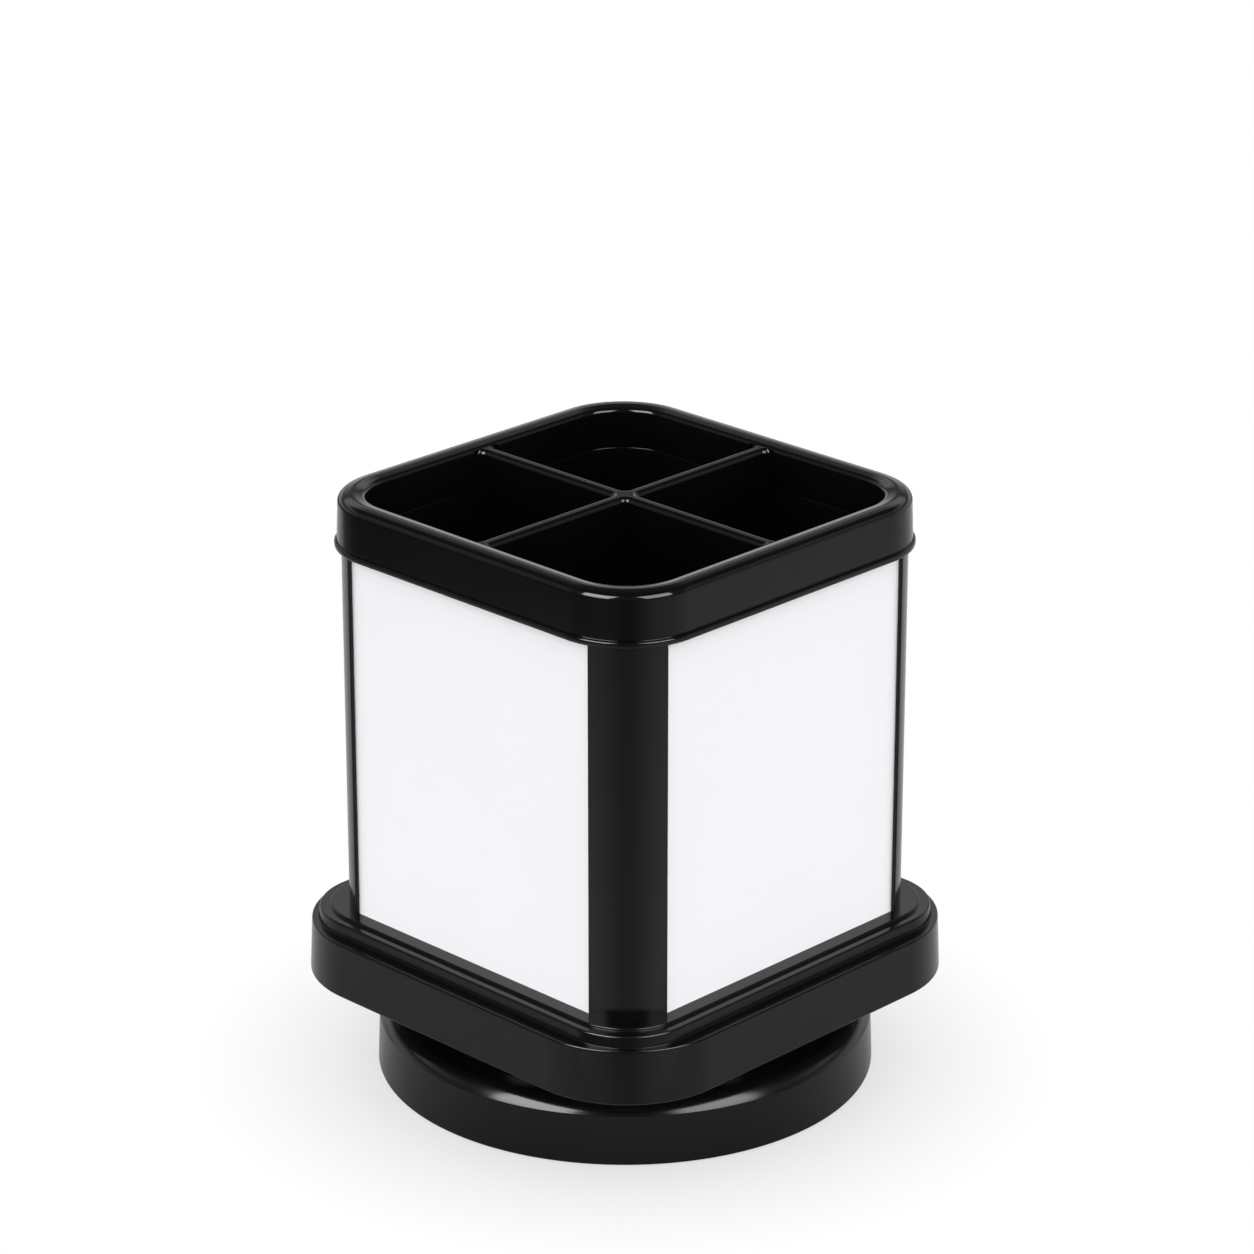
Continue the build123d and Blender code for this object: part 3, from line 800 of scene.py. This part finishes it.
class PENSTAND_OT_hardware(Operator):
    """Finish the solids that are shown as they are"""

    bl_idname = "pen_stand.hardware"
    bl_label = "Hardware"

    def execute(self, context):
        makers = {"swivel_plate": abs_satin_black, "glide_ring": acetal_smooth_white,
                  "pivot_washer": steel_zinc_plated, "pivot_screw": steel_zinc_plated,
                  "plinth_screws": steel_zinc_plated}
        for node, maker in makers.items():
            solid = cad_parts[node]
            solid.data.materials.clear()
            solid.data.materials.append(finish(maker))
        return {"FINISHED"}


# Spans over which the surround changes, as sines of the angle above the horizon, behind or to the sides
DEPTH_SPAN = {"From Min": -0.2, "From Max": 0.3}
SIDE_SPAN = {"From Min": 0.1, "From Max": 0.6}
STEEP_SPAN = {"From Min": -0.42, "From Max": -0.3}
HORIZON_SPAN = {"From Min": -0.02, "From Max": 0.02}
FOOT_SPAN = {"From Min": 0.15, "From Max": 0.36}
BAND_START = {"From Min": 0.37, "From Max": 0.41}
BAND_END = {"From Min": 0.5, "From Max": 0.62}
LIGHT_HORIZON = {"From Min": -0.05, "From Max": 0.05}
LIGHT_UPPER = {"From Min": 0.35, "From Max": 0.8}


class PENSTAND_OT_studio(Operator):
    """Set the pale floor, the soft lamps and the camera"""

    bl_idname = "pen_stand.studio"
    bl_label = "Studio"

    def execute(self, context):
        studio = context.scene.pen_stand_studio
        self.right = Vector((math.cos(studio.azimuth), math.sin(studio.azimuth), 0))
        self.away = Vector((-math.sin(studio.azimuth), math.cos(studio.azimuth), 0))
        self.floor(context, studio)
        self.dome(context, studio)
        self.softbox(context, "key_softbox", -studio.lamp_turn, studio.key_power)
        self.softbox(context, "fill_softbox", studio.lamp_turn, studio.fill_power)
        self.camera(context, studio)
        context.scene.view_settings.view_transform = "Standard"
        return {"FINISHED"}

    def direction(self, turn, tilt):
        """Unit direction to a point that is turned from the camera's side and tilted above the horizon."""
        level = math.cos(tilt) * (math.sin(turn) * self.right - math.cos(turn) * self.away)
        return level + Vector((0, 0, math.sin(tilt)))

    def floor(self, context, studio):
        """A pale sheet square to the camera: a rounded rectangle that reaches further back than forward."""
        signs, normals = outline(arc_steps=12, side_steps=1)
        spread = np.array([studio.floor_side, (studio.floor_rear + studio.floor_front) / 2])
        middle = np.array([0, (studio.floor_rear - studio.floor_front) / 2])
        corner = studio.floor_corner
        flat = signs * (spread - corner) + normals * corner + middle
        points = flat @ np.array([self.right, self.away])
        mesh = bpy.data.meshes.new("studio_floor")
        mesh.from_pydata(points.tolist(), [], [list(range(len(points)))])
        made = bpy.data.objects.new("studio_floor", mesh)
        context.scene.collection.objects.link(made)
        mesh.materials.append(self.paper(blank("paper_matt_pale"), context.scene.pen_stand_finishes, studio))

    def paper(self, material, tints, studio):
        """Matt paper that keeps the shadow of the stand; the camera sees it turn to white further out."""
        rays = add(material, "ShaderNodeLightPath").outputs
        place = add(material, "ShaderNodeTexCoord").outputs["Object"]
        reach = add(material, "ShaderNodeVectorMath", {"operation": "LENGTH"}, Vector=place).outputs["Value"]
        fade = add(material, "ShaderNodeMapRange", {
            "From Min": studio.fade_start, "From Max": studio.fade_end, "To Min": studio.floor_lift,
        }, Value=reach)
        shade = add(material, "ShaderNodeMapRange", {
            "To Min": tints.floor_pale, "To Max": tints.floor_bounce,
        }, Value=rays["Is Diffuse Ray"])
        lift = add(material, "ShaderNodeMath", {"operation": "MULTIPLY"}, [rays["Is Camera Ray"], fade])
        matt = add(material, "ShaderNodeBsdfDiffuse", Color=shade)
        white = add(material, "ShaderNodeEmission", {"Strength": 1.0})
        mixed = add(material, "ShaderNodeMixShader", sources=[lift, matt, white])
        add(material, "ShaderNodeOutputMaterial", Surface=mixed)
        return material

    def dome(self, context, studio):
        """White surround for the camera and soft light for the rest; gloss sees it dimmed by place.

        Behind the stand it is white low down and again in a band higher up, and dim between and overhead, on
        the side of the camera and below the horizon, where the sides outshine the middle."""
        world = bpy.data.worlds.new("studio_dome")
        context.scene.world = world
        world.use_nodes = True
        world.node_tree.nodes.clear()
        rays = add(world, "ShaderNodeLightPath").outputs
        place = add(world, "ShaderNodeTexCoord").outputs["Generated"]
        height = add(world, "ShaderNodeSeparateXYZ", Vector=place).outputs["Z"]
        depth = add(world, "ShaderNodeVectorMath", {"operation": "DOT_PRODUCT"}, [place])
        depth.inputs[1].default_value = self.away
        side = add(world, "ShaderNodeVectorMath", {"operation": "DOT_PRODUCT"}, [place])
        side.inputs[1].default_value = self.right
        spread = add(world, "ShaderNodeMath", {"operation": "ABSOLUTE"}, [side.outputs["Value"]])
        behind = add(world, "ShaderNodeMapRange", {
            **DEPTH_SPAN, "To Min": studio.mirrored_near, "To Max": studio.mirrored_back,
        }, Value=depth.outputs["Value"])
        foot = add(world, "ShaderNodeMapRange", {
            **FOOT_SPAN, "To Min": studio.mirrored_back, "To Max": studio.mirrored_top,
        }, Value=height)
        band = add(world, "ShaderNodeMapRange", {**BAND_START, "To Max": studio.mirrored_band},
                   Value=height, To_Min=foot)
        level = add(world, "ShaderNodeMapRange", {**BAND_END, "To Max": studio.mirrored_top},
                    Value=height, To_Min=band)
        backdrop = add(world, "ShaderNodeMath", {"operation": "MINIMUM"}, [behind, level])
        steep = add(world, "ShaderNodeMapRange", {
            **SIDE_SPAN, "To Min": studio.mirrored_low, "To Max": studio.mirrored_side,
        }, Value=spread)
        flat = add(world, "ShaderNodeMapRange", {
            **SIDE_SPAN, "To Min": studio.mirrored_far, "To Max": studio.mirrored_wide,
        }, Value=spread)
        lean = add(world, "ShaderNodeMapRange", {
            "From Min": -1.0, "To Min": 1 - studio.mirrored_lean, "To Max": 1 + studio.mirrored_lean,
        }, Value=side.outputs["Value"])
        leaning = add(world, "ShaderNodeMath", {"operation": "MULTIPLY"}, [flat, lean])
        below = add(world, "ShaderNodeMapRange", STEEP_SPAN, Value=height, To_Min=steep, To_Max=leaning)
        mirrored = add(world, "ShaderNodeMapRange", HORIZON_SPAN, Value=height,
                       To_Min=below, To_Max=backdrop)
        upper = add(world, "ShaderNodeMapRange", {
            **LIGHT_UPPER, "To Min": studio.dome, "To Max": studio.dome_top,
        }, Value=height)
        light = add(world, "ShaderNodeMapRange", {**LIGHT_HORIZON, "To Min": studio.dome_low},
                    Value=height, To_Max=upper)
        soft = add(world, "ShaderNodeBackground", {"Color": WHITE}, Strength=light)
        gloss = add(world, "ShaderNodeBackground", {"Color": WHITE}, Strength=mirrored)
        white = add(world, "ShaderNodeBackground", {"Color": WHITE, "Strength": 1.0})
        shiny = add(world, "ShaderNodeMixShader", sources=[rays["Is Glossy Ray"], soft, gloss])
        seen = add(world, "ShaderNodeMath", {"operation": "MAXIMUM"},
                   [rays["Is Camera Ray"], rays["Is Transmission Ray"]])
        whole = add(world, "ShaderNodeMixShader", sources=[seen, shiny, white])
        add(world, "ShaderNodeOutputWorld", Surface=whole)

    def softbox(self, context, name, turn, power):
        """Square area lamp that faces the middle of the stand and shows in its gloss alone."""
        studio = context.scene.pen_stand_studio
        middle = Vector((0, 0, cad_high.z / 2))
        outward = self.direction(turn, studio.lamp_tilt)
        lamp = bpy.data.lights.new(name, "AREA")
        lamp.size = studio.lamp_width
        lamp.energy = power
        made = bpy.data.objects.new(name, lamp)
        made.location = middle + outward * studio.lamp_distance
        made.rotation_euler = (-outward).to_track_quat("-Z", "Y").to_euler()
        made.visible_camera = False
        made.visible_diffuse = False
        context.scene.collection.objects.link(made)

    def camera(self, context, studio):
        """Camera at the photographed angle, aimed at the upper part of the stand."""
        back = self.direction(0, studio.elevation)
        lens = bpy.data.cameras.new("studio_camera")
        lens.lens, lens.sensor_width = studio.lens, studio.sensor
        made = bpy.data.objects.new("studio_camera", lens)
        aim = self.right * studio.aim_right + Vector((0, 0, studio.aim_height))
        made.location = aim + back * studio.distance
        made.rotation_euler = (-back).to_track_quat("-Z", "Y").to_euler()
        context.scene.collection.objects.link(made)
        context.scene.camera = made


STEPS = (PENSTAND_OT_base, PENSTAND_OT_pads, PENSTAND_OT_plinth, PENSTAND_OT_posts, PENSTAND_OT_panels,
         PENSTAND_OT_tub, PENSTAND_OT_dividers, PENSTAND_OT_rim, PENSTAND_OT_hardware, PENSTAND_OT_studio)


class PENSTAND_PT_sidebar(Panel):
    """Lists the steps and the values that they read"""

    bl_idname = "PENSTAND_PT_sidebar"
    bl_label = "Rotating pen stand"
    bl_space_type = "VIEW_3D"
    bl_region_type = "UI"
    bl_category = "Pen stand"

    def draw(self, context):
        layout = self.layout
        for step in STEPS:
            layout.operator(step.bl_idname)
        for group in ("pen_stand_sizes", "pen_stand_finishes", "pen_stand_studio"):
            values = getattr(context.scene, group)
            for name in values.bl_rna.properties.keys():
                if name not in ("rna_type", "name"):
                    layout.prop(values, name)


CLASSES = (PenStandSizes, PenStandFinishes, PenStandStudio, *STEPS, PENSTAND_PT_sidebar)


def register():
    for made in CLASSES:
        bpy.utils.register_class(made)
    bpy.types.Scene.pen_stand_sizes = PointerProperty(type=PenStandSizes)
    bpy.types.Scene.pen_stand_finishes = PointerProperty(type=PenStandFinishes)
    bpy.types.Scene.pen_stand_studio = PointerProperty(type=PenStandStudio)


def unregister():
    del bpy.types.Scene.pen_stand_sizes
    del bpy.types.Scene.pen_stand_finishes
    del bpy.types.Scene.pen_stand_studio
    for made in reversed(CLASSES):
        bpy.utils.unregister_class(made)


def main():
    """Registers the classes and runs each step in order."""
    register()
    bpy.ops.pen_stand.base()
    bpy.ops.pen_stand.pads()
    bpy.ops.pen_stand.plinth()
    bpy.ops.pen_stand.posts()
    bpy.ops.pen_stand.panels()
    bpy.ops.pen_stand.tub()
    bpy.ops.pen_stand.dividers()
    bpy.ops.pen_stand.rim()
    bpy.ops.pen_stand.hardware()
    bpy.ops.pen_stand.studio()


if __name__ == "__main__":
    main()
